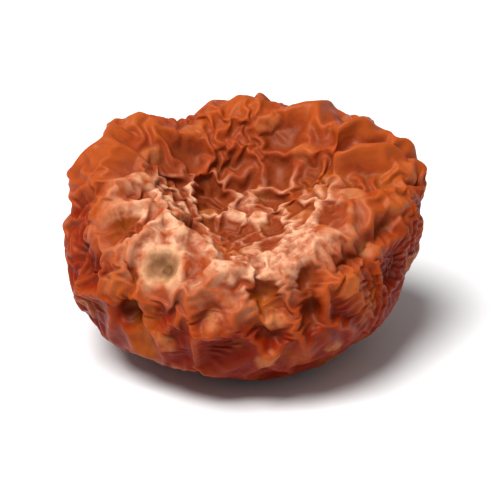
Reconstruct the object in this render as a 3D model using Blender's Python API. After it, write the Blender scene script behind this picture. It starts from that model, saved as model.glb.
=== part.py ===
"""One dried physalis berry, lying on its underside.

Metres, +Z up, front towards -Y. The origin is under the middle of the berry, on the surface it lies on.
The fruit dried as one body: a squat round with a dished crown that leans to the front, a thick rim
behind it, and a skin that shrank into a raised net of folds.
"""
import itertools
import math
import random

import bmesh
import bpy
from mathutils import Euler, Vector, geometry, kdtree, noise

MM = 0.001

# The body before its skin folds, as half sizes from its middle
HALF_WIDTH = 7.3 * MM
HALF_DEPTH = 6.3 * MM
HALF_HEIGHT_ABOVE = 3.95 * MM
HALF_HEIGHT_BELOW = 4.75 * MM
SHOULDER_ABOVE = 3.0  # 2 is an ellipse, more is a squarer shoulder
SHOULDER_BELOW = 2.25
LEAN = 0.28  # rise of the crown for each unit that it runs back

# The dish in the crown
DISH_HALF_WIDTH = 6.2 * MM
DISH_HALF_DEPTH = 5.7 * MM
DISH_DEPTH = 2.4 * MM
DISH_FLOOR = 0.2  # share of the dish's width that is its floor

# The underside sagged flat where the berry lay while it dried
REST_LEVEL = -4.6 * MM  # below the middle of the body, and no skin reaches lower
REST_RADIUS = 1.6 * MM  # no folds within this distance of the middle of the underside
REST_FADE = 5.4 * MM  # and folds at their full height only beyond this distance

# Soft lobes (+) and hollows (-): azimuth and elevation from the middle in degrees, height, reach in degrees
LOBES = (
    ("left corner of the rim", 152, 32, 0.90 * MM, 20),
    ("right corner of the rim", 30, 32, 0.95 * MM, 20),
    ("notch in the rim", 115, 39, -0.65 * MM, 9),
    ("waist on the left", 188, 28, -0.55 * MM, 13),
    ("front of the belly", 262, -20, 0.25 * MM, 34),
    ("slack of the right flank", 338, 10, -0.40 * MM, 20),
)

# Ridges (+) and grooves (-) that stand out: points along each as azimuth and elevation, height, half width
CREASES = (
    ("lower curl at the right corner", ((17, 54), (16, 42), (15, 30)), 0.50 * MM, 0.38 * MM),
    ("upper curl at the right corner", ((34, 48), (31, 39), (22, 33)), 0.45 * MM, 0.38 * MM),
    ("groove between the curls", ((26, 50), (23, 41), (19, 33)), -0.40 * MM, 0.32 * MM),
    ("groove down the right flank", ((344, 36), (323, 36), (309, 35)), -0.50 * MM, 0.36 * MM),
    ("crest of the rim", ((56, 44), (80, 44), (103, 43)), 0.20 * MM, 0.55 * MM),
    ("front lip of the dish", ((209, 2), (241, 29), (266, 39), (286, 35), (309, 31)), 0.22 * MM, 0.65 * MM),
    ("fold across the belly", ((244, -15), (254, 4), (270, 20), (286, 10), (291, -10)), 0.32 * MM, 0.42 * MM),
    ("fold low on the belly", ((228, -24), (246, -28), (264, -22), (281, -8)), 0.28 * MM, 0.42 * MM),
)

# Pits: azimuth and elevation, depth, radius
PITS = (
    ("under the lip, left", 229, 5, 0.85 * MM, 0.50 * MM),
    ("under the lip, middle", 278, 31, 0.60 * MM, 0.50 * MM),
    ("on the lip, right", 296, 36, 0.80 * MM, 0.48 * MM),
    ("under the lip, right", 294, 15, 0.60 * MM, 0.45 * MM),
    ("left dent", 198, 15, 0.60 * MM, 0.80 * MM),
    ("left edge of the dish", 207, 43, 0.55 * MM, 0.60 * MM),
)

# The raised net of folds
SEED = 12
CELL = 1.9 * MM
CELLS_EACH_WAY = 6
FOLD_IN_DISH = 0.55 * MM
FOLD_OUTSIDE = 0.58 * MM
BELLY_SHARE = 0.6  # height of the folds low on the belly, as a share of those round the rim
FOLD_HALF_WIDTH = 0.28 * MM
BEND = 0.45 * MM  # how far the net wanders from straight
BEND_LENGTH = 2.4 * MM
# Where the wandering across, along and up is read in the noise, far enough apart to differ
BEND_STARTS = (Vector((0.0, 0.0, 0.0)), Vector((31.4, 7.7, 12.1)), Vector((5.2, 53.9, 21.8)))
STRENGTH_LENGTH = 3.6 * MM
SWELL = 0.35 * MM  # slow swelling and sinking of the body
SWELL_LENGTH = 4.2 * MM
SWELL_START = Vector((7.3, 1.9, 4.1))

# The stem scar, on the front left of the dish
SCAR_AZIMUTH = 238
SCAR_ELEVATION = 38
SCAR_RING = 0.90 * MM  # radius of its raised ring
SCAR_RING_HEIGHT = 0.32 * MM
SCAR_RING_HALF = 0.34 * MM
SCAR_PIT_RADIUS = 0.48 * MM
SCAR_PIT_DEPTH = 0.55 * MM

ICO_LEVELS = 7
CREST_PASSES = 2  # smoothing that rounds the crests of the folds
TRIANGLES = 11000

FLESH_COLOUR = (0.415, 0.094, 0.036, 1.0)
FLESH_ROUGHNESS = 0.42


def smooth(value, low, high):
    """0 below low, 1 above high and an even rise between."""
    share = min(max((value - low) / (high - low), 0.0), 1.0)
    return share * share * (3.0 - 2.0 * share)


def bell(distance, half_width):
    """1 at no distance, falling to 0 well beyond the half width."""
    return math.exp(-((distance / half_width) ** 2))


def direction(azimuth, elevation):
    """Unit vector from degrees: azimuth turns from +X towards +Y, elevation rises from the horizon."""
    turn = Euler((0.0, -math.radians(elevation), math.radians(azimuth)), "XYZ")
    return turn.to_matrix() @ Vector((1.0, 0.0, 0.0))


def dish_share(x, y, way):
    """1 in the floor of the dish, 0 at its rim and outside it."""
    out = math.hypot(x / DISH_HALF_WIDTH, y / DISH_HALF_DEPTH)
    return (1.0 - smooth(out, DISH_FLOOR, 1.0)) * smooth(way.z, 0.05, 0.5)


def body_point(way):
    """The point of the smooth body that lies in a direction from its middle."""
    flat = math.hypot(way.x, way.y)
    shoulder, half_height = (
        (SHOULDER_ABOVE, HALF_HEIGHT_ABOVE) if way.z > 0.0 else (SHOULDER_BELOW, HALF_HEIGHT_BELOW)
    )
    reach = (flat**shoulder + abs(way.z) ** shoulder) ** (-1.0 / shoulder)
    x = way.x * reach * HALF_WIDTH
    y = way.y * reach * HALF_DEPTH
    z = way.z * reach * half_height
    z -= DISH_DEPTH * dish_share(x, y, way)
    z += LEAN * y * smooth(z, -HALF_HEIGHT_BELOW, HALF_HEIGHT_ABOVE)
    return Vector((x, y, z))


def marked_point(azimuth, elevation):
    return body_point(direction(azimuth, elevation))


def lobe_height(way):
    """How far the lobes and hollows move the skin in a direction."""
    total = 0.0
    for _, azimuth, elevation, height, reach in LOBES:
        total += height * bell(math.degrees(way.angle(direction(azimuth, elevation))), reach)
    return total


def distance_to_line(point, line):
    """Distance from a point to the nearest of a line's straight runs."""
    nearest = math.inf
    for start, end in zip(line, line[1:]):
        on_run, share = geometry.intersect_point_line(point, start, end)
        if share < 0.0:
            on_run = start
        elif share > 1.0:
            on_run = end
        nearest = min(nearest, (point - on_run).length)
    return nearest


def scar_height(away):
    """The stem scar's profile by distance from its centre: a raised ring round a pit."""
    ring = SCAR_RING_HEIGHT * bell(away - SCAR_RING, SCAR_RING_HALF)
    return ring - SCAR_PIT_DEPTH * bell(away, SCAR_PIT_RADIUS)


def cell_centres():
    """Centres of cells that fill the space round the berry, one drawn in each box of a grid."""
    draw = random.Random(SEED)
    span = range(-CELLS_EACH_WAY, CELLS_EACH_WAY)
    corners = [Vector(place) for place in itertools.product(span, repeat=3)]
    tree = kdtree.KDTree(len(corners))
    for number, corner in enumerate(corners):
        drawn = Vector((draw.random(), draw.random(), draw.random()))
        tree.insert((corner + drawn) * CELL, number)
    tree.balance()
    return tree


def net_height(way, point, dish, centres):
    """The raised net: folds along the borders of the cells, higher in some places than in others."""
    bent = point + BEND * Vector([noise.noise(point / BEND_LENGTH + start) for start in BEND_STARTS])
    (_, _, nearest), (_, _, second) = centres.find_n(bent, 2)
    from_border = (second - nearest) / 2.0
    strength = min(max(0.85 + 0.8 * noise.noise(point / STRENGTH_LENGTH), 0.4), 1.3)
    height = FOLD_OUTSIDE + (FOLD_IN_DISH - FOLD_OUTSIDE) * dish
    height *= BELLY_SHARE + (1.0 - BELLY_SHARE) * smooth(way.z, -0.5, 0.3)
    return height * strength * bell(from_border, FOLD_HALF_WIDTH)


class Skin:
    """How far the skin stands off the smooth body, anywhere on it."""

    def __init__(self):
        self.centres = cell_centres()
        self.scar = marked_point(SCAR_AZIMUTH, SCAR_ELEVATION)
        self.pits = [(marked_point(*pit[1:3]), *pit[3:]) for pit in PITS]
        self.creases = [
            ([marked_point(*place) for place in places], height, half_width)
            for _, places, height, half_width in CREASES
        ]

    def height(self, way, point):
        dish = dish_share(point.x, point.y, way)
        scar_distance = (point - self.scar).length
        net_share = smooth(scar_distance, SCAR_RING, SCAR_RING + 2.0 * SCAR_RING_HALF)
        height = net_share * net_height(way, point, dish, self.centres)
        height += lobe_height(way) + scar_height(scar_distance)
        height += SWELL * noise.noise(point / SWELL_LENGTH + SWELL_START)
        for line, rise, half_width in self.creases:
            height += net_share * rise * bell(distance_to_line(point, line), half_width)
        for pit, depth, radius in self.pits:
            height -= depth * bell((point - pit).length, radius)
        if way.z < 0.0:
            height *= smooth(math.hypot(point.x, point.y), REST_RADIUS, REST_FADE)
        return height


def fine_berry(name):
    """A fine closed skin: a sphere moved onto the body, then raised along its own normals."""
    bpy.ops.mesh.primitive_ico_sphere_add(subdivisions=ICO_LEVELS, radius=1.0)
    berry = bpy.context.object
    berry.name = name
    berry.data.name = name
    mesh = bmesh.new()
    mesh.from_mesh(berry.data)
    ways = [vert.co.normalized() for vert in mesh.verts]
    for vert, way in zip(mesh.verts, ways):
        vert.co = body_point(way)
    mesh.normal_update()
    skin = Skin()
    raised = [vert.co + vert.normal * skin.height(way, vert.co) for vert, way in zip(mesh.verts, ways)]
    for vert, place in zip(mesh.verts, raised):
        vert.co = place
    for _ in range(CREST_PASSES):
        bmesh.ops.smooth_vert(
            mesh, verts=mesh.verts[:], factor=0.5, use_axis_x=True, use_axis_y=True, use_axis_z=True
        )
    mesh.to_mesh(berry.data)
    mesh.free()
    return berry


def thin_out(berry):
    """Fewer triangles, kept where the folds turn."""
    decimate = berry.modifiers.new("fewer triangles", "DECIMATE")
    decimate.ratio = TRIANGLES / len(berry.data.polygons)
    bpy.ops.object.modifier_apply(modifier=decimate.name)


def press_flat(berry):
    """Cuts the underside level to rest on, and sets the origin under the middle of the berry."""
    mesh = bmesh.new()
    mesh.from_mesh(berry.data)
    everything = mesh.verts[:] + mesh.edges[:] + mesh.faces[:]
    cut = bmesh.ops.bisect_plane(
        mesh, geom=everything, plane_co=(0.0, 0.0, REST_LEVEL), plane_no=(0.0, 0.0, 1.0), clear_inner=True
    )
    rim = [item for item in cut["geom_cut"] if isinstance(item, bmesh.types.BMEdge)]
    bmesh.ops.edgeloop_fill(mesh, edges=rim)
    bmesh.ops.recalc_face_normals(mesh, faces=mesh.faces[:])
    across = [vert.co.x for vert in mesh.verts]
    along = [vert.co.y for vert in mesh.verts]
    middle = Vector(((min(across) + max(across)) / 2.0, (min(along) + max(along)) / 2.0, REST_LEVEL))
    bmesh.ops.translate(mesh, verts=mesh.verts[:], vec=-middle)
    mesh.to_mesh(berry.data)
    mesh.free()


def flesh_material():
    """Dried flesh: dark amber, half glossy."""
    material = bpy.data.materials.new("dried flesh")
    material.use_nodes = True
    shader = material.node_tree.nodes["Principled BSDF"]
    shader.inputs["Base Color"].default_value = FLESH_COLOUR
    shader.inputs["Roughness"].default_value = FLESH_ROUGHNESS
    return material


def clear_scene():
    for item in list(bpy.data.objects):
        bpy.data.objects.remove(item, do_unlink=True)


def main():
    clear_scene()
    collection = bpy.data.collections.new("physalis berry")
    bpy.context.scene.collection.children.link(collection)
    berry = fine_berry("berry")
    thin_out(berry)
    press_flat(berry)
    berry.data.shade_smooth()
    berry.data.materials.append(flesh_material())
    for holder in list(berry.users_collection):
        holder.objects.unlink(berry)
    collection.objects.link(berry)


main()
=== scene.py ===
"""Looks for one dried physalis berry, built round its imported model.

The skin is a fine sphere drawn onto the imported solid, with its seeds and its stem scar raised and its pits
sunk. It is then let out a little wider than the flesh, so that it settles into wrinkles. Blender's own
values are in metres, and the arrays of points that shape the skin are in millimetres.
"""

import math
import random

import bpy
import numpy as np
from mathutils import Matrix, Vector, bvhtree, kdtree, noise


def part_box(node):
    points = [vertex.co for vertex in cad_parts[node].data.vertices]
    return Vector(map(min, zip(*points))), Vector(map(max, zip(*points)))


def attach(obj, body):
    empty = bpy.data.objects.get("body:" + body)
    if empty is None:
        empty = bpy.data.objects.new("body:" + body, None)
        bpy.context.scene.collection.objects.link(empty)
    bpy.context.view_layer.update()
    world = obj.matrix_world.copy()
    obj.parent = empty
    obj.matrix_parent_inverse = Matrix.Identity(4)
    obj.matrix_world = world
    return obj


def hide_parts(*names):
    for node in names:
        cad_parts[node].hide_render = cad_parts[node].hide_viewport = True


bl_info = {
    "name": "Dried Physalis Berry",
    "version": (1, 0, 0),
    "blender": (4, 5, 0),
    "location": "View3D > Sidebar > Berry",
    "description": "Builds a wrinkled dried berry with its stem scar, a pale floor, lights and a camera",
    "category": "Add Mesh",
}

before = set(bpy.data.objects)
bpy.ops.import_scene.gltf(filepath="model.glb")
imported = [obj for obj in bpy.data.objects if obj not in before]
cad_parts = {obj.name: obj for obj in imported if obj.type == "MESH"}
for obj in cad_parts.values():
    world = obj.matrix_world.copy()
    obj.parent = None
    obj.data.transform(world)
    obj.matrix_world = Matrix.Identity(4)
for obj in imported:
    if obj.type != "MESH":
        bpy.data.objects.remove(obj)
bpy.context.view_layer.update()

MM = 0.001
NODE = "berry"

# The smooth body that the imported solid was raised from, in millimetres
BODY_MIDDLE = np.array((-0.077, 0.089, 4.6))
HALF_WIDTH, HALF_DEPTH = 7.3, 6.3
HALF_HEIGHT_ABOVE, HALF_HEIGHT_BELOW = 3.95, 4.75
SHOULDER_ABOVE, SHOULDER_BELOW = 3.0, 2.25  # 2 is an ellipse, more is a squarer shoulder
LEAN = 0.28  # rise of the crown for each unit that it runs back
DISH_HALF_WIDTH, DISH_HALF_DEPTH = 6.2, 5.7
DISH_DEPTH = 2.4
DISH_FLOOR = 0.2  # share of the dish's half width that is flat
CROWN_WAY = np.array((0.0, -0.28, 0.96))  # the way that the sunk crown faces

# The stem scar, in millimetres: a corky ring, the stub of the stem in its middle and the hollow between
SCAR_PLACE = np.array((-3.47, -4.60, 6.07))
SCAR_WAY = np.array((-0.28, -0.65, 0.71))  # the way that the scar faces
SCAR_THICKNESS = 1.2  # how far a fold may take the scar's skin out of its plane
SCAR_REACH = 2.4  # where its mark falls to 0
RING_RADIUS, RING_WIDTH, RING_HEIGHT = 0.85, 0.26, 0.20
STUB_WIDTH, STUB_HEIGHT = 0.20, 0.42
HOLLOW_WIDTH, HOLLOW_DEPTH = 0.50, 0.22

# Pits under the lip of the dish, in millimetres
PIT_PLACES = np.array(
    ((-4.87, -4.66, 4.11), (0.87, -5.75, 5.35), (2.79, -4.99, 5.85), (2.87, -5.63, 4.47))
)
PIT_DEPTH, PIT_RADIUS = 0.22, 0.6

# Seeds under the skin
SEED_DRAW = 31  # which random draw places them
SEED_SPACING = 2.2  # least distance between two seeds, in seed radii
SEED_WIDTH = 0.66  # width of a seed as a share of its length

# Where dried sugars and painted highlights lie in the dish, in millimetres: towards its front, left of the
# middle
SUGAR_AND_HIGHLIGHT_MIDDLE = (-0.6, -2.2)
SUGAR_AND_HIGHLIGHT_HALF_WIDTH, SUGAR_AND_HIGHLIGHT_HALF_DEPTH = 5.6, 4.4

# Each pattern of patches reads a place of its own in the noise
LOOSE_PATTERN, TOUGH_PATTERN, SCAR_PATTERN, PIT_PATTERN = 5.0, 11.0, 17.0, 23.0

# Passes of evening out: to the flesh without its finer folds, and to the level that folds stand out from
FLESH_PASSES, LEVEL_PASSES = 60, 160
FOLD_RANGE = 0.9  # millimetres between the lowest fold bottoms and the highest fold tops that colours tell apart

FLOOR_SIZE = 2.0
SUN_WAY = Vector((0.34, 0.26, -1.0))  # from over the camera's left shoulder

MARKS = ("fold", "seed", "lit_crown", "sugar_and_highlight", "scar")  # what the colours follow, as attributes of the mesh


# Colours


def linear(code):
    """Linear RGBA of an sRGB hex colour."""
    channels = [int(code[start : start + 2], 16) / 255.0 for start in (0, 2, 4)]
    return [c / 12.92 if c <= 0.04045 else ((c + 0.055) / 1.055) ** 2.4 for c in channels] + [1.0]


def colour_setting(name, code, description):
    """A colour that the user can change, from its sRGB hex code."""
    return bpy.props.FloatVectorProperty(
        name=name, description=description, default=linear(code), subtype="COLOR", size=4, min=0.0, max=1.0
    )


# Settings


class BerrySkinSettings(bpy.types.PropertyGroup):
    excess: bpy.props.FloatProperty(
        name="Excess", description="How much wider the skin is than the flesh below it", default=0.20,
        min=0.0, max=0.4, subtype="FACTOR",
    )
    stiffness: bpy.props.FloatProperty(
        name="Stiffness", description="How much the skin resists bending, which widens its wrinkles",
        default=0.15, min=0.01, max=10.0,
    )
    steps: bpy.props.IntProperty(
        name="Steps", description="How long the skin is left to settle", default=240, min=0, max=1000
    )
    rounds: bpy.props.IntProperty(
        name="Rounds", description="Times that folds which cross are opened", default=5, min=0, max=20
    )
    relief: bpy.props.FloatProperty(
        name="Relief", description="Share of the packed model's folds that the flesh keeps", default=1.0,
        min=0.0, max=1.0, subtype="FACTOR",
    )
    seeds: bpy.props.IntProperty(
        name="Seeds", description="Seeds that press against the skin", default=75, min=1, max=300
    )
    seed_radius: bpy.props.FloatProperty(
        name="Seed Radius", description="Half the length of a seed", default=0.75 * MM, unit="LENGTH"
    )
    seed_height: bpy.props.FloatProperty(
        name="Seed Height", description="How far a seed lifts the skin", default=0.12 * MM, unit="LENGTH"
    )
    flesh: colour_setting("Flesh", "902703", "Skin over the flesh between the folds")
    # Painted shade and real tone: this darker, redder colour shows low on the belly, where the flesh colour
    # thins, and in blotches
    belly: colour_setting("Belly", "6c0b00", "Redder skin in blotches and low on the belly")
    amber: colour_setting("Amber", "b05c10", "Clear amber flesh in patches")
    # Painted light: a paler colour where the skin faces up towards the light, over the dish
    lit_crown: colour_setting("Crown", "9c4620", "Duller, paler skin in the dish of the crown")
    # Painted shade in the bottoms of the folds and in the pits; the same colour also gives dark speckles
    # along the skin's grain
    valley_shade_and_speckle: colour_setting("Valleys", "4c0c00", "Syrupy flesh in the bottoms of the folds")
    crest_tone_and_light: colour_setting("Crests", "ac4e1a", "Thin, dry skin on the crests of the folds")
    # Partly paler thin skin on the fold tops and partly painted light, as the fold tops are paler higher up
    # the berry
    seed: colour_setting("Seeds", "c07a48", "Seeds that show through the skin")
    # Dried sugars with painted highlights, on the fold tops of the up-facing dish
    bloom_and_highlight: colour_setting("Bloom", "e0ac88", "Dried sugar, as a thin bloom in the dish")
    scar: colour_setting("Scar", "cc9c72", "Corky ring of the stem scar")
    cork: colour_setting("Cork", "5e3610", "Olive-brown cork where the stem broke off")


class BerryStageSettings(bpy.types.PropertyGroup):
    elevation: bpy.props.FloatProperty(
        name="Camera Elevation", description="How far the camera looks down", default=math.radians(27.0),
        subtype="ANGLE",
    )
    lens: bpy.props.FloatProperty(
        name="Lens", description="Focal length in millimetres", default=330.0, min=10.0
    )
    distance: bpy.props.FloatProperty(
        name="Distance", description="From the middle of the berry to the camera", default=0.2,
        unit="LENGTH",
    )
    sun: bpy.props.FloatProperty(
        name="Sun", description="Strength of the soft main light", default=4.7, min=0.0
    )
    sun_width: bpy.props.FloatProperty(
        name="Sun Width", description="How wide the main light looks, which softens its shadows",
        default=math.radians(38.0), subtype="ANGLE",
    )
    air: bpy.props.FloatProperty(
        name="Air", description="Strength of the light from all sides", default=0.26, min=0.0
    )
    floor: colour_setting("Floor", "ececec", "Pale floor")


# Meshes


def select_only(item):
    bpy.ops.object.select_all(action="DESELECT")
    item.select_set(True)
    bpy.context.view_layer.objects.active = item


def apply_modifier(item, kind, **settings):
    """Adds a modifier with its settings and applies it."""
    modifier = item.modifiers.new(kind.lower(), kind)
    for name, value in settings.items():
        setattr(modifier, name, value)
    select_only(item)
    bpy.ops.object.modifier_apply(modifier=modifier.name)


def read_points(mesh):
    """The vertices of a mesh, in millimetres."""
    flat = np.empty(len(mesh.vertices) * 3, np.float32)
    mesh.vertices.foreach_get("co", flat)
    return flat.reshape(-1, 3).astype(float) / MM


def write_points(mesh, points):
    """Moves the vertices of a mesh to points in millimetres."""
    mesh.vertices.foreach_set("co", (points * MM).astype(np.float32).ravel())
    mesh.update()


def read_triangles(mesh):
    flat = np.empty(len(mesh.polygons) * 3, np.int32)
    mesh.polygons.foreach_get("vertices", flat)
    return flat.reshape(-1, 3)


def write_attribute(mesh, name, values):
    attribute = mesh.attributes.new(name, "FLOAT", "POINT")
    attribute.data.foreach_set("value", np.clip(values, 0.0, 1.0).astype(np.float32))


def neighbour_table(count, triangles):
    """The neighbours of each vertex, padded with the vertex itself, and how many there are."""
    starts, stops = triangles.ravel(), triangles[:, [1, 2, 0]].ravel()
    ends = np.concatenate([np.stack([starts, stops], 1), np.stack([stops, starts], 1)])
    ends = np.unique(ends, axis=0)
    first = np.searchsorted(ends[:, 0], np.arange(count + 1))
    sizes = np.diff(first)
    table = np.repeat(np.arange(count)[:, None], sizes.max(), axis=1)
    for place in range(sizes.max()):
        has = sizes > place
        table[has, place] = ends[first[:-1][has] + place, 1]
    return table, sizes


def vertex_normals(points, triangles):
    """The way that the surface faces at each vertex, as the mean of its faces by their area."""
    corners = points[triangles]
    faces = np.cross(corners[:, 1] - corners[:, 0], corners[:, 2] - corners[:, 0])
    normals = np.zeros_like(points)
    for corner in range(3):
        for axis in range(3):
            normals[:, axis] += np.bincount(triangles[:, corner], faces[:, axis], len(points))
    return normals / np.maximum(np.linalg.norm(normals, axis=1, keepdims=True), 1e-12)


def spread(values, table, passes):
    """Values evened out over their neighbours."""
    for _ in range(passes):
        values = values[table].mean(axis=1)
    return values


# Measures, from points in millimetres


def rise(values, low, high):
    """0 below low, 1 above high and a smooth rise between."""
    share = np.clip((values - low) / (high - low), 0.0, 1.0)
    return share * share * (3.0 - 2.0 * share)


def from_least(least, share):
    """A share from 0 to 1, squeezed to run from least to 1."""
    return least + (1.0 - least) * share


def bell(distance, half_width):
    """1 at no distance, falling to 0 well beyond the half width."""
    return np.exp(-((distance / half_width) ** 2))


def patches(points, size, pattern):
    """Smooth patches about size across, from 0 to 1."""
    shift = Vector((pattern, 2.0 * pattern, 3.0 * pattern))
    values = [0.5 + 0.7 * noise.noise(Vector(point) / size + shift) for point in points]
    return np.clip(values, 0.0, 1.0)


def uneven(points, size, pattern):
    """A factor of 1 on average, from 0.4 to 1.6 in patches."""
    return 0.4 + 1.2 * patches(points, size, pattern)


def from_scar(points):
    """How far each point lies from the middle of the stem scar, along the skin."""
    off = points - SCAR_PLACE
    along = off @ SCAR_WAY
    across = np.linalg.norm(off - along[:, None] * SCAR_WAY, axis=1)
    return np.hypot(across, np.maximum(np.abs(along) - SCAR_THICKNESS, 0.0))


def pit_share(points):
    """1 in the middle of a pit, falling to 0 outside its uneven edge."""
    radius = PIT_RADIUS * uneven(points, 0.8, PIT_PATTERN)
    return sum(bell(np.linalg.norm(points - place, axis=1), radius) for place in PIT_PLACES)


# The smooth body


def dish_share(points, ways):
    """1 in the floor of the dish, 0 at its rim and outside it."""
    out = np.hypot(points[:, 0] / DISH_HALF_WIDTH, points[:, 1] / DISH_HALF_DEPTH)
    return (1.0 - rise(out, DISH_FLOOR, 1.0)) * rise(ways[:, 2], 0.05, 0.5)


def body_points(ways):
    """The points of the smooth body that lie in the given directions from its middle."""
    flat = np.hypot(ways[:, 0], ways[:, 1])
    above = ways[:, 2] > 0.0
    shoulder = np.where(above, SHOULDER_ABOVE, SHOULDER_BELOW)
    half_height = np.where(above, HALF_HEIGHT_ABOVE, HALF_HEIGHT_BELOW)
    reach = (flat**shoulder + np.abs(ways[:, 2]) ** shoulder) ** (-1.0 / shoulder)
    points = ways * reach[:, None] * (HALF_WIDTH, HALF_DEPTH, 1.0)
    points[:, 2] *= half_height
    points[:, 2] -= DISH_DEPTH * dish_share(points, ways)
    points[:, 2] += LEAN * points[:, 1] * rise(points[:, 2], -HALF_HEIGHT_BELOW, HALF_HEIGHT_ABOVE)
    return points + BODY_MIDDLE


# The flesh and the skin on it


def flesh_copy():
    """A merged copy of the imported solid, for the skin to lie on."""
    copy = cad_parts[NODE].copy()
    copy.data = copy.data.copy()
    copy.parent = None
    bpy.context.scene.collection.objects.link(copy)
    select_only(copy)
    bpy.ops.object.mode_set(mode="EDIT")
    bpy.ops.mesh.select_all(action="SELECT")
    bpy.ops.mesh.remove_doubles(threshold=0.001 * MM)
    bpy.ops.object.mode_set(mode="OBJECT")
    return copy


def sphere_drawn_onto(flesh):
    """A fine sphere shaped to the smooth body, and drawn from there onto the flesh."""
    bpy.ops.object.select_all(action="DESELECT")
    bpy.ops.mesh.primitive_ico_sphere_add(subdivisions=6, radius=1.0, location=(0.0, 0.0, 0.0))
    skin = bpy.context.object
    skin.name = "wrinkled_skin"
    bpy.ops.object.mode_set(mode="EDIT")
    bpy.ops.mesh.select_all(action="SELECT")
    bpy.ops.mesh.subdivide(number_cuts=2)
    bpy.ops.object.mode_set(mode="OBJECT")
    ways = read_points(skin.data)
    write_points(skin.data, body_points(ways / np.linalg.norm(ways, axis=1, keepdims=True)))
    apply_modifier(
        skin, "SHRINKWRAP", target=flesh, wrap_method="PROJECT", use_negative_direction=True,
        use_positive_direction=True, project_limit=2.5 * MM,
    )
    bpy.ops.object.mode_set(mode="EDIT")
    bpy.ops.mesh.select_all(action="SELECT")
    bpy.ops.mesh.vertices_smooth(factor=0.5, repeat=4)
    bpy.ops.object.mode_set(mode="OBJECT")
    return skin


def softened(points, table, relief):
    """The flesh with a quarter less relief low down, where finer wrinkles take its place."""
    kept = relief * from_least(0.75, rise(points[:, 2:], 2.0, 6.0))
    return points + (1.0 - kept) * (spread(points, table, FLESH_PASSES) - points)


def seed_places(points, normals, settings):
    """Seeds under the skin: where each lies, and the way that it points along the skin."""
    draw = random.Random(SEED_DRAW)
    apart = SEED_SPACING * settings.seed_radius / MM
    seeds = []
    for index in draw.sample(range(len(points)), len(points) // 4):
        if len(seeds) == settings.seeds:
            break
        point = points[index]
        if all(np.linalg.norm(point - other) > apart for other, _ in seeds):
            way = np.cross(normals[index], [draw.uniform(-1.0, 1.0) for _ in range(3)])
            seeds.append((point, way / np.linalg.norm(way)))
    return seeds


def seed_share(points, seeds, radius):
    """1 over the middle of a seed, a long oval, falling to 0 at its edge. Pits and the scar have none."""
    tree = kdtree.KDTree(len(seeds))
    for number, (place, _) in enumerate(seeds):
        tree.insert(place, number)
    tree.balance()
    nearest = np.array([tree.find(point)[1] for point in points])
    places, ways = (np.array(values)[nearest] for values in zip(*seeds))
    off = points - places
    along = (off * ways).sum(axis=1)
    across2 = (off * off).sum(axis=1) - along**2
    oval = 1.0 - (along / radius) ** 2 - across2 / (SEED_WIDTH * radius) ** 2
    clear_of_pits = np.clip(1.0 - 2.0 * pit_share(points), 0.0, 1.0)
    clear_of_scar = rise(from_scar(points), 1.2, 2.0)
    off_ground = rise(points[:, 2], 1.0, 3.0)
    return np.clip(oval, 0.0, 1.0) * clear_of_pits * off_ground * clear_of_scar


def scar_relief(points):
    """A lumpy corky ring, its sunk middle and the stub of the stem that stands in it."""
    away = from_scar(points)
    lumps = uneven(points, 0.45, SCAR_PATTERN)
    ring = RING_HEIGHT * lumps * bell(away - RING_RADIUS, RING_WIDTH)
    stub = STUB_HEIGHT * lumps * bell(away, STUB_WIDTH)
    return ring + stub - HOLLOW_DEPTH * bell(away, HOLLOW_WIDTH)


def looseness(points):
    """How loose the skin is: most round the rim, less low on the belly, least at the scar."""
    height = from_least(0.45, rise(points[:, 2], 1.0, 7.0))
    scar = from_least(0.35, rise(from_scar(points), 0.7, 1.5))
    return height * scar * (0.65 + 0.7 * patches(points, 3.0, LOOSE_PATTERN))


def toughness(points):
    """How stiff the skin is: tough skin, in patches and low down, folds broadly."""
    tough_patch = 3.5  # times as stiff as soft skin
    low = 1.0 - rise(points[:, 2], 2.0, 6.5)
    return tough_patch ** (rise(patches(points, 3.6, TOUGH_PATTERN), 0.35, 0.75) + 0.5 * low)


def bent(points, columns, sizes):
    """How far each point lies from the mean of its neighbours."""
    total = sum(points[column] for column in columns)
    return (total - (len(columns) - sizes) * points) / sizes - points


def settled(base, goal, normals, neighbours, excess, stiffness, steps):
    """The skin after it settles: it is wider than the flesh, bends stiffly and clings to the flesh.

    Flesh yields less to a push in than the skin does to a pull away from it, so folds stand outwards.
    """
    push_in, pull_out, slide = 0.05, 0.014, 0.006  # the flesh's hold, where the skin's own stretch has 1
    pace, drag = 0.35, 0.06  # of each step
    table, sizes = neighbours
    columns = [np.ascontiguousarray(column) for column in table.T]
    sizes = sizes[:, None].astype(np.float32)
    base, goal, normals = (values.astype(np.float32) for values in (base, goal, normals))
    excess, stiffness = excess.astype(np.float32), stiffness.astype(np.float32)[:, None]
    rests = [np.linalg.norm(base[column] - base, axis=1) * (1.0 + excess) for column in columns]
    goal_bend = bent(goal, columns, sizes)
    points = goal.copy()
    speed = np.zeros_like(points)
    for _ in range(steps):
        force = -bent(stiffness * (bent(points, columns, sizes) - goal_bend), columns, sizes)
        for column, rest in zip(columns, rests):
            run = points[column] - points
            length = np.sqrt(np.einsum("ij,ij->i", run, run)) + 1e-9
            force += run * (1.0 - rest / length)[:, None]
        off = points - goal
        lift = np.einsum("ij,ij->i", off, normals)[:, None]
        force -= np.where(lift < 0.0, push_in, pull_out) * lift * normals
        force -= slide * (off - lift * normals)
        speed = speed * (1.0 - drag) + pace * force
        points = points + pace * speed
    return points.astype(float)


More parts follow.
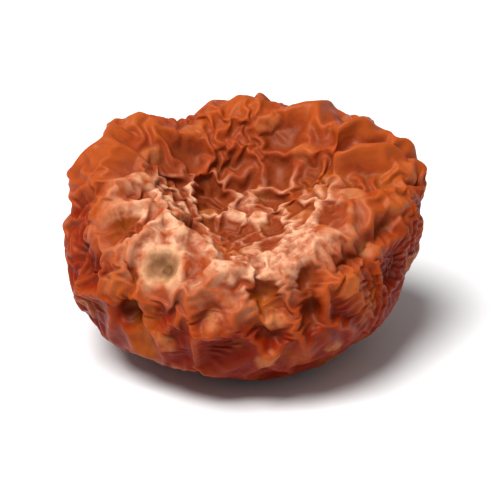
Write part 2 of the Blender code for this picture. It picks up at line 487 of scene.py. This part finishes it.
def crossing_faces(points, triangles):
    """The faces that cross others, apart from the neighbours that they share a vertex with."""
    tree = bvhtree.BVHTree.FromPolygons(points.tolist(), triangles.tolist())
    pairs = np.array(tree.overlap(tree), int).reshape(-1, 2)
    pairs = pairs[pairs[:, 0] < pairs[:, 1]]
    first, second = triangles[pairs[:, 0]], triangles[pairs[:, 1]]
    shared = (first[:, :, None] == second[:, None, :]).any(axis=(1, 2))
    return np.unique(pairs[~shared])


def eased(points, triangles, table, rounds):
    """The skin with its tightest folds opened, so that they don't run through each other."""
    for _ in range(rounds):
        near = np.zeros(len(points))
        near[triangles[crossing_faces(points, triangles)]] = 1.0
        near = spread(near[table].max(axis=1), table, 2)
        points = points + near[:, None] * (spread(points, table, 2) - points)
    return points


def skin_marks(points, triangles, table, seeds):
    """What the colours follow, from 0 to 1, in the order of MARKS."""
    evened = spread(points, table, LEVEL_PASSES)
    normals = vertex_normals(evened, triangles)
    stands_out = ((points - evened) * normals).sum(axis=1)
    # The pits are marked lower than their relief, so the painted shade of the fold bottoms darkens them too
    fold = 0.5 + stands_out / FOLD_RANGE - 0.25 * pit_share(points)
    # How far the skin faces up: painted light pales it there, and the sugars and painted highlights lie only
    # there
    lit_crown = rise(normals @ CROWN_WAY, 0.30, 0.80)
    across = (points[:, 0] - SUGAR_AND_HIGHLIGHT_MIDDLE[0]) / SUGAR_AND_HIGHLIGHT_HALF_WIDTH
    back = (points[:, 1] - SUGAR_AND_HIGHLIGHT_MIDDLE[1]) / SUGAR_AND_HIGHLIGHT_HALF_DEPTH
    # Dried sugars and painted highlights, on up-facing skin towards the dish's front, left of the middle
    sugar_and_highlight = lit_crown * (1.0 - rise(np.hypot(across, back), 0.55, 1.15))
    scar = 1.0 - from_scar(points) / SCAR_REACH
    return fold, seeds, lit_crown, sugar_and_highlight, scar


# Materials


def add_node(tree, kind, settings):
    """Adds a node. A socket of another node is linked to its input, and any other value is set."""
    node = tree.nodes.new(kind)
    for name, value in settings.items():
        if isinstance(value, bpy.types.NodeSocket):
            tree.links.new(value, node.inputs[name])
        elif isinstance(name, str) and hasattr(node, name):
            setattr(node, name, value)
        else:
            node.inputs[name].default_value = value
    return node


def skin_material(settings):
    """Dried fruit skin: a thin leathery film over syrupy flesh that light enters and leaves again."""
    # It gives a low gloss broken by puckers, folds made redder and darker by painted shade, and dusty pale
    # crests that are partly painted light, with painted highlights among the dried sugars of the dish
    material = bpy.data.materials.new("dried physalis skin")
    material.use_nodes = True
    tree = material.node_tree
    tree.nodes.clear()
    place = add_node(tree, "ShaderNodeTexCoord", {}).outputs["Object"]
    apart = add_node(tree, "ShaderNodeSeparateXYZ", {"Vector": place})
    height = apart.outputs["Z"]
    fold, seed, lit_crown, sugar_and_highlight, scar = (
        add_node(tree, "ShaderNodeAttribute", {"attribute_name": name}).outputs["Fac"] for name in MARKS
    )

    # Each pattern's width in millimetres, detail and distortion
    patterns = (
        (3.0, 3.0, 0.0),  # blotches of colour
        (1.1, 3.0, 0.4),  # flecks of dried sugars and of painted highlights
        (0.4, 4.0, 0.0),  # the skin's grain
        (0.12, 2.0, 0.0),  # pores
    )
    blotch, fleck, grain, pores = (
        add_node(
            tree, "ShaderNodeTexNoise",
            {"Vector": place, "Scale": 1.0 / (width * MM), "Detail": detail, "Distortion": distortion},
        ).outputs["Fac"]
        for width, detail, distortion in patterns
    )
    # The edge of the scar frays into the skin, as finely as the grain and as coarsely as the flecks
    ragged = scar
    for pattern, share in ((grain, 0.2), (fleck, 0.35)):
        ragged = add_node(
            tree, "ShaderNodeMath", {"operation": "MULTIPLY_ADD", 0: pattern, 1: share, 2: ragged}
        ).outputs["Value"]

    # Each layer has its colour, the most that it hides, and the sources that thin it, each with the
    # value where the layer is gone and the one where it is full
    # Dried sugars and painted highlights: in the up-facing dish, in flecks and on the fold tops
    sugar_and_highlight_limits = ((sugar_and_highlight, 0.0, 0.8), (fleck, 0.34, 0.58), (fold, 0.40, 0.60), (grain, 0.26, 0.56))
    layers = (
        # The flesh colour thins below 6 millimetres and is gone below 1.5, so the darker, redder colour
        # under it shows as painted shade towards the bottom; its blotches are the skin's own tone
        (settings.flesh, 1.0, ((blotch, 0.36, 0.60), (height, 1.5 * MM, 6.0 * MM))),
        # Painted shade: dark colour in the bottoms of the folds and in the pits, stronger higher up
        (settings.valley_shade_and_speckle, 0.95, ((fold, 0.50, 0.28), (height, -3.0 * MM, 6.0 * MM))),
        # Painted light: a paler colour where the skin faces up
        (settings.lit_crown, 0.55, ((lit_crown, 0.0, 1.0),)),
        (settings.amber, 0.5, ((blotch, 0.57, 0.74),)),
        # Dark speckles along the skin's grain, the skin's own tone
        (settings.valley_shade_and_speckle, 0.35, ((grain, 0.50, 0.68),)),
        (settings.seed, 0.5, ((seed, 0.0, 0.6), (grain, 0.3, 0.6))),
        # Partly paler thin skin on the fold tops and partly painted light, paler higher up the berry
        (settings.crest_tone_and_light, 0.65, ((fold, 0.53, 0.90), (height, -2.0 * MM, 7.0 * MM))),
        (settings.bloom_and_highlight, 0.95, sugar_and_highlight_limits),
        (settings.scar, 0.7, ((ragged, 0.78, 0.96),)),
        (settings.cork, 0.45, ((ragged, 0.86, 1.02), (grain, 0.60, 0.40))),
        (settings.cork, 0.9, ((ragged, 1.04, 1.18),)),
    )
    # The bottom colour: painted shade low on the belly, and blotches of the skin's own redder tone
    colour = settings.belly
    for paint, share, limits in layers:
        for source, gone, full in limits:
            span = add_node(
                tree, "ShaderNodeMapRange", {"Value": source, "From Min": gone, "From Max": full}
            )
            share = add_node(
                tree, "ShaderNodeMath", {"operation": "MULTIPLY", 0: span.outputs["Result"], 1: share}
            ).outputs["Value"]
        # Inputs 6 and 7 and output 2 of a Mix node are its colours
        colour = add_node(
            tree, "ShaderNodeMix", {"data_type": "RGBA", "Factor": share, 6: colour, 7: paint}
        ).outputs[2]

    roughness = add_node(
        tree, "ShaderNodeMapRange",
        {"Value": grain, "From Min": 0.3, "From Max": 0.7, "To Min": 0.36, "To Max": 0.56},
    ).outputs["Result"]
    # The film is puckered, about two puckers to a millimetre, and its pores roughen the gloss
    pucker = add_node(
        tree, "ShaderNodeTexNoise",
        {
            "noise_type": "RIDGED_MULTIFRACTAL",
            "Vector": place,
            "Scale": 1.0 / (0.55 * MM),
            "Detail": 2.0,
            "Distortion": 0.5,
        },
    ).outputs["Fac"]
    puckered = add_node(
        tree, "ShaderNodeBump", {"Height": pucker, "Strength": 0.7, "Distance": 0.05 * MM}
    ).outputs["Normal"]
    porous = add_node(
        tree, "ShaderNodeBump",
        {"Height": pores, "Normal": puckered, "Strength": 0.4, "Distance": 0.03 * MM},
    ).outputs["Normal"]
    shader = add_node(
        tree, "ShaderNodeBsdfPrincipled",
        {
            "Base Color": colour,
            "Roughness": roughness,
            "Normal": porous,
            "IOR": 1.45,
            "Specular IOR Level": 0.18,
            "Specular Tint": (1.0, 0.62, 0.42, 1.0),
            "Subsurface Weight": 0.22,
            "Subsurface Radius": (1.0, 0.25, 0.08),
            "Subsurface Scale": 0.6 * MM,
            "Coat Weight": 0.03,
            "Coat Roughness": 0.25,
        },
    )
    add_node(tree, "ShaderNodeOutputMaterial", {"Surface": shader.outputs["BSDF"]})
    return material


def floor_material(settings):
    """White card with a matt face, which gives soft bounced light and hardly a reflection."""
    material = bpy.data.materials.new("matt white card")
    material.use_nodes = True
    tree = material.node_tree
    tree.nodes.clear()
    shader = add_node(
        tree, "ShaderNodeBsdfPrincipled",
        {"Base Color": settings.floor, "Roughness": 0.9, "Specular IOR Level": 0.1},
    )
    add_node(tree, "ShaderNodeOutputMaterial", {"Surface": shader.outputs["BSDF"]})
    return material


# Operators


class BERRY_OT_skin(bpy.types.Operator):
    """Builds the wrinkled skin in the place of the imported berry"""

    bl_idname = "berry.skin"
    bl_label = "Wrinkled Skin"
    bl_options = {"REGISTER", "UNDO"}

    def execute(self, context):
        settings = context.scene.berry_skin
        flesh = flesh_copy()
        skin = sphere_drawn_onto(flesh)
        bpy.data.objects.remove(flesh)
        mesh = skin.data
        triangles = read_triangles(mesh)
        neighbours = neighbour_table(len(mesh.vertices), triangles)
        table, _ = neighbours

        # The flesh, with what is raised on it and sunk into it
        base = softened(read_points(mesh), table, settings.relief)
        normals = vertex_normals(base, triangles)
        seeds = seed_places(base, normals, settings)
        seed_radius = settings.seed_radius / MM
        raised = seed_share(base, seeds, seed_radius) * settings.seed_height / MM
        raised += scar_relief(base) - PIT_DEPTH * pit_share(base)
        goal = base + normals * raised[:, None]
        goal_normals = vertex_normals(goal, triangles)

        # The skin on it
        excess = settings.excess * looseness(base)
        stiffness = settings.stiffness * toughness(base)
        steps, rounds = ((settings.steps, settings.rounds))
        points = settled(base, goal, goal_normals, neighbours, excess, stiffness, steps)
        points = eased(points, triangles, table, rounds)
        points[:, 2] = np.maximum(points[:, 2], 0.0)
        write_points(mesh, points)
        marks = skin_marks(points, triangles, table, seed_share(points, seeds, seed_radius))
        for name, values in zip(MARKS, marks):
            write_attribute(mesh, name, values)
        mesh.shade_smooth()
        mesh.materials.append(skin_material(settings))
        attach(skin, "root")
        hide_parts(NODE)
        return {"FINISHED"}


class BERRY_OT_stage(bpy.types.Operator):
    """Adds the pale floor, the soft lights and the camera"""

    bl_idname = "berry.stage"
    bl_label = "Floor, Lights and Camera"
    bl_options = {"REGISTER", "UNDO"}

    def execute(self, context):
        settings = context.scene.berry_stage
        low, high = (Vector(corner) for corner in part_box(NODE))
        middle = (low + high) / 2.0

        bpy.ops.object.select_all(action="DESELECT")
        bpy.ops.mesh.primitive_plane_add(size=FLOOR_SIZE)
        floor = context.object
        floor.name = "floor"
        floor.data.materials.append(floor_material(settings))

        world = bpy.data.worlds.new("studio air")
        world.use_nodes = True
        background = world.node_tree.nodes["Background"]
        background.inputs["Color"].default_value = (1.0, 1.0, 1.0, 1.0)
        background.inputs["Strength"].default_value = settings.air
        context.scene.world = world

        # The main light is as far away as the sun, so the far floor is as bright as the near one
        sun = bpy.data.objects.new("sun", bpy.data.lights.new("sun", "SUN"))
        context.scene.collection.objects.link(sun)
        sun.data.energy = settings.sun
        sun.data.angle = settings.sun_width
        sun.rotation_euler = SUN_WAY.to_track_quat("-Z", "Y").to_euler()

        camera = bpy.data.objects.new("camera", bpy.data.cameras.new("camera"))
        context.scene.collection.objects.link(camera)
        camera.data.lens = settings.lens
        camera.data.clip_start = 1.0 * MM
        way = Vector((0.0, -math.cos(settings.elevation), math.sin(settings.elevation)))
        camera.location = middle + way * settings.distance
        camera.rotation_euler = (-way).to_track_quat("-Z", "Y").to_euler()
        context.scene.camera = camera
        context.scene.view_settings.view_transform = "Standard"
        return {"FINISHED"}


class BERRY_PT_panel(bpy.types.Panel):
    """Lists the berry's operators and settings in the sidebar"""

    bl_label = "Dried Physalis Berry"
    bl_idname = "BERRY_PT_panel"
    bl_space_type = "VIEW_3D"
    bl_region_type = "UI"
    bl_category = "Berry"

    def draw(self, context):
        layout = self.layout
        for operator, group in (("berry.skin", "berry_skin"), ("berry.stage", "berry_stage")):
            settings = getattr(context.scene, group)
            box = layout.box()
            for name in settings.__annotations__:
                box.prop(settings, name)
            box.operator(operator)


CLASSES = (
    BerrySkinSettings,
    BerryStageSettings,
    BERRY_OT_skin,
    BERRY_OT_stage,
    BERRY_PT_panel,
)


def register():
    for item in CLASSES:
        bpy.utils.register_class(item)
    bpy.types.Scene.berry_skin = bpy.props.PointerProperty(type=BerrySkinSettings)
    bpy.types.Scene.berry_stage = bpy.props.PointerProperty(type=BerryStageSettings)


def unregister():
    del bpy.types.Scene.berry_stage
    del bpy.types.Scene.berry_skin
    for item in reversed(CLASSES):
        bpy.utils.unregister_class(item)


def main():
    register()
    bpy.ops.berry.skin()
    bpy.ops.berry.stage()


if __name__ == "__main__":
    main()
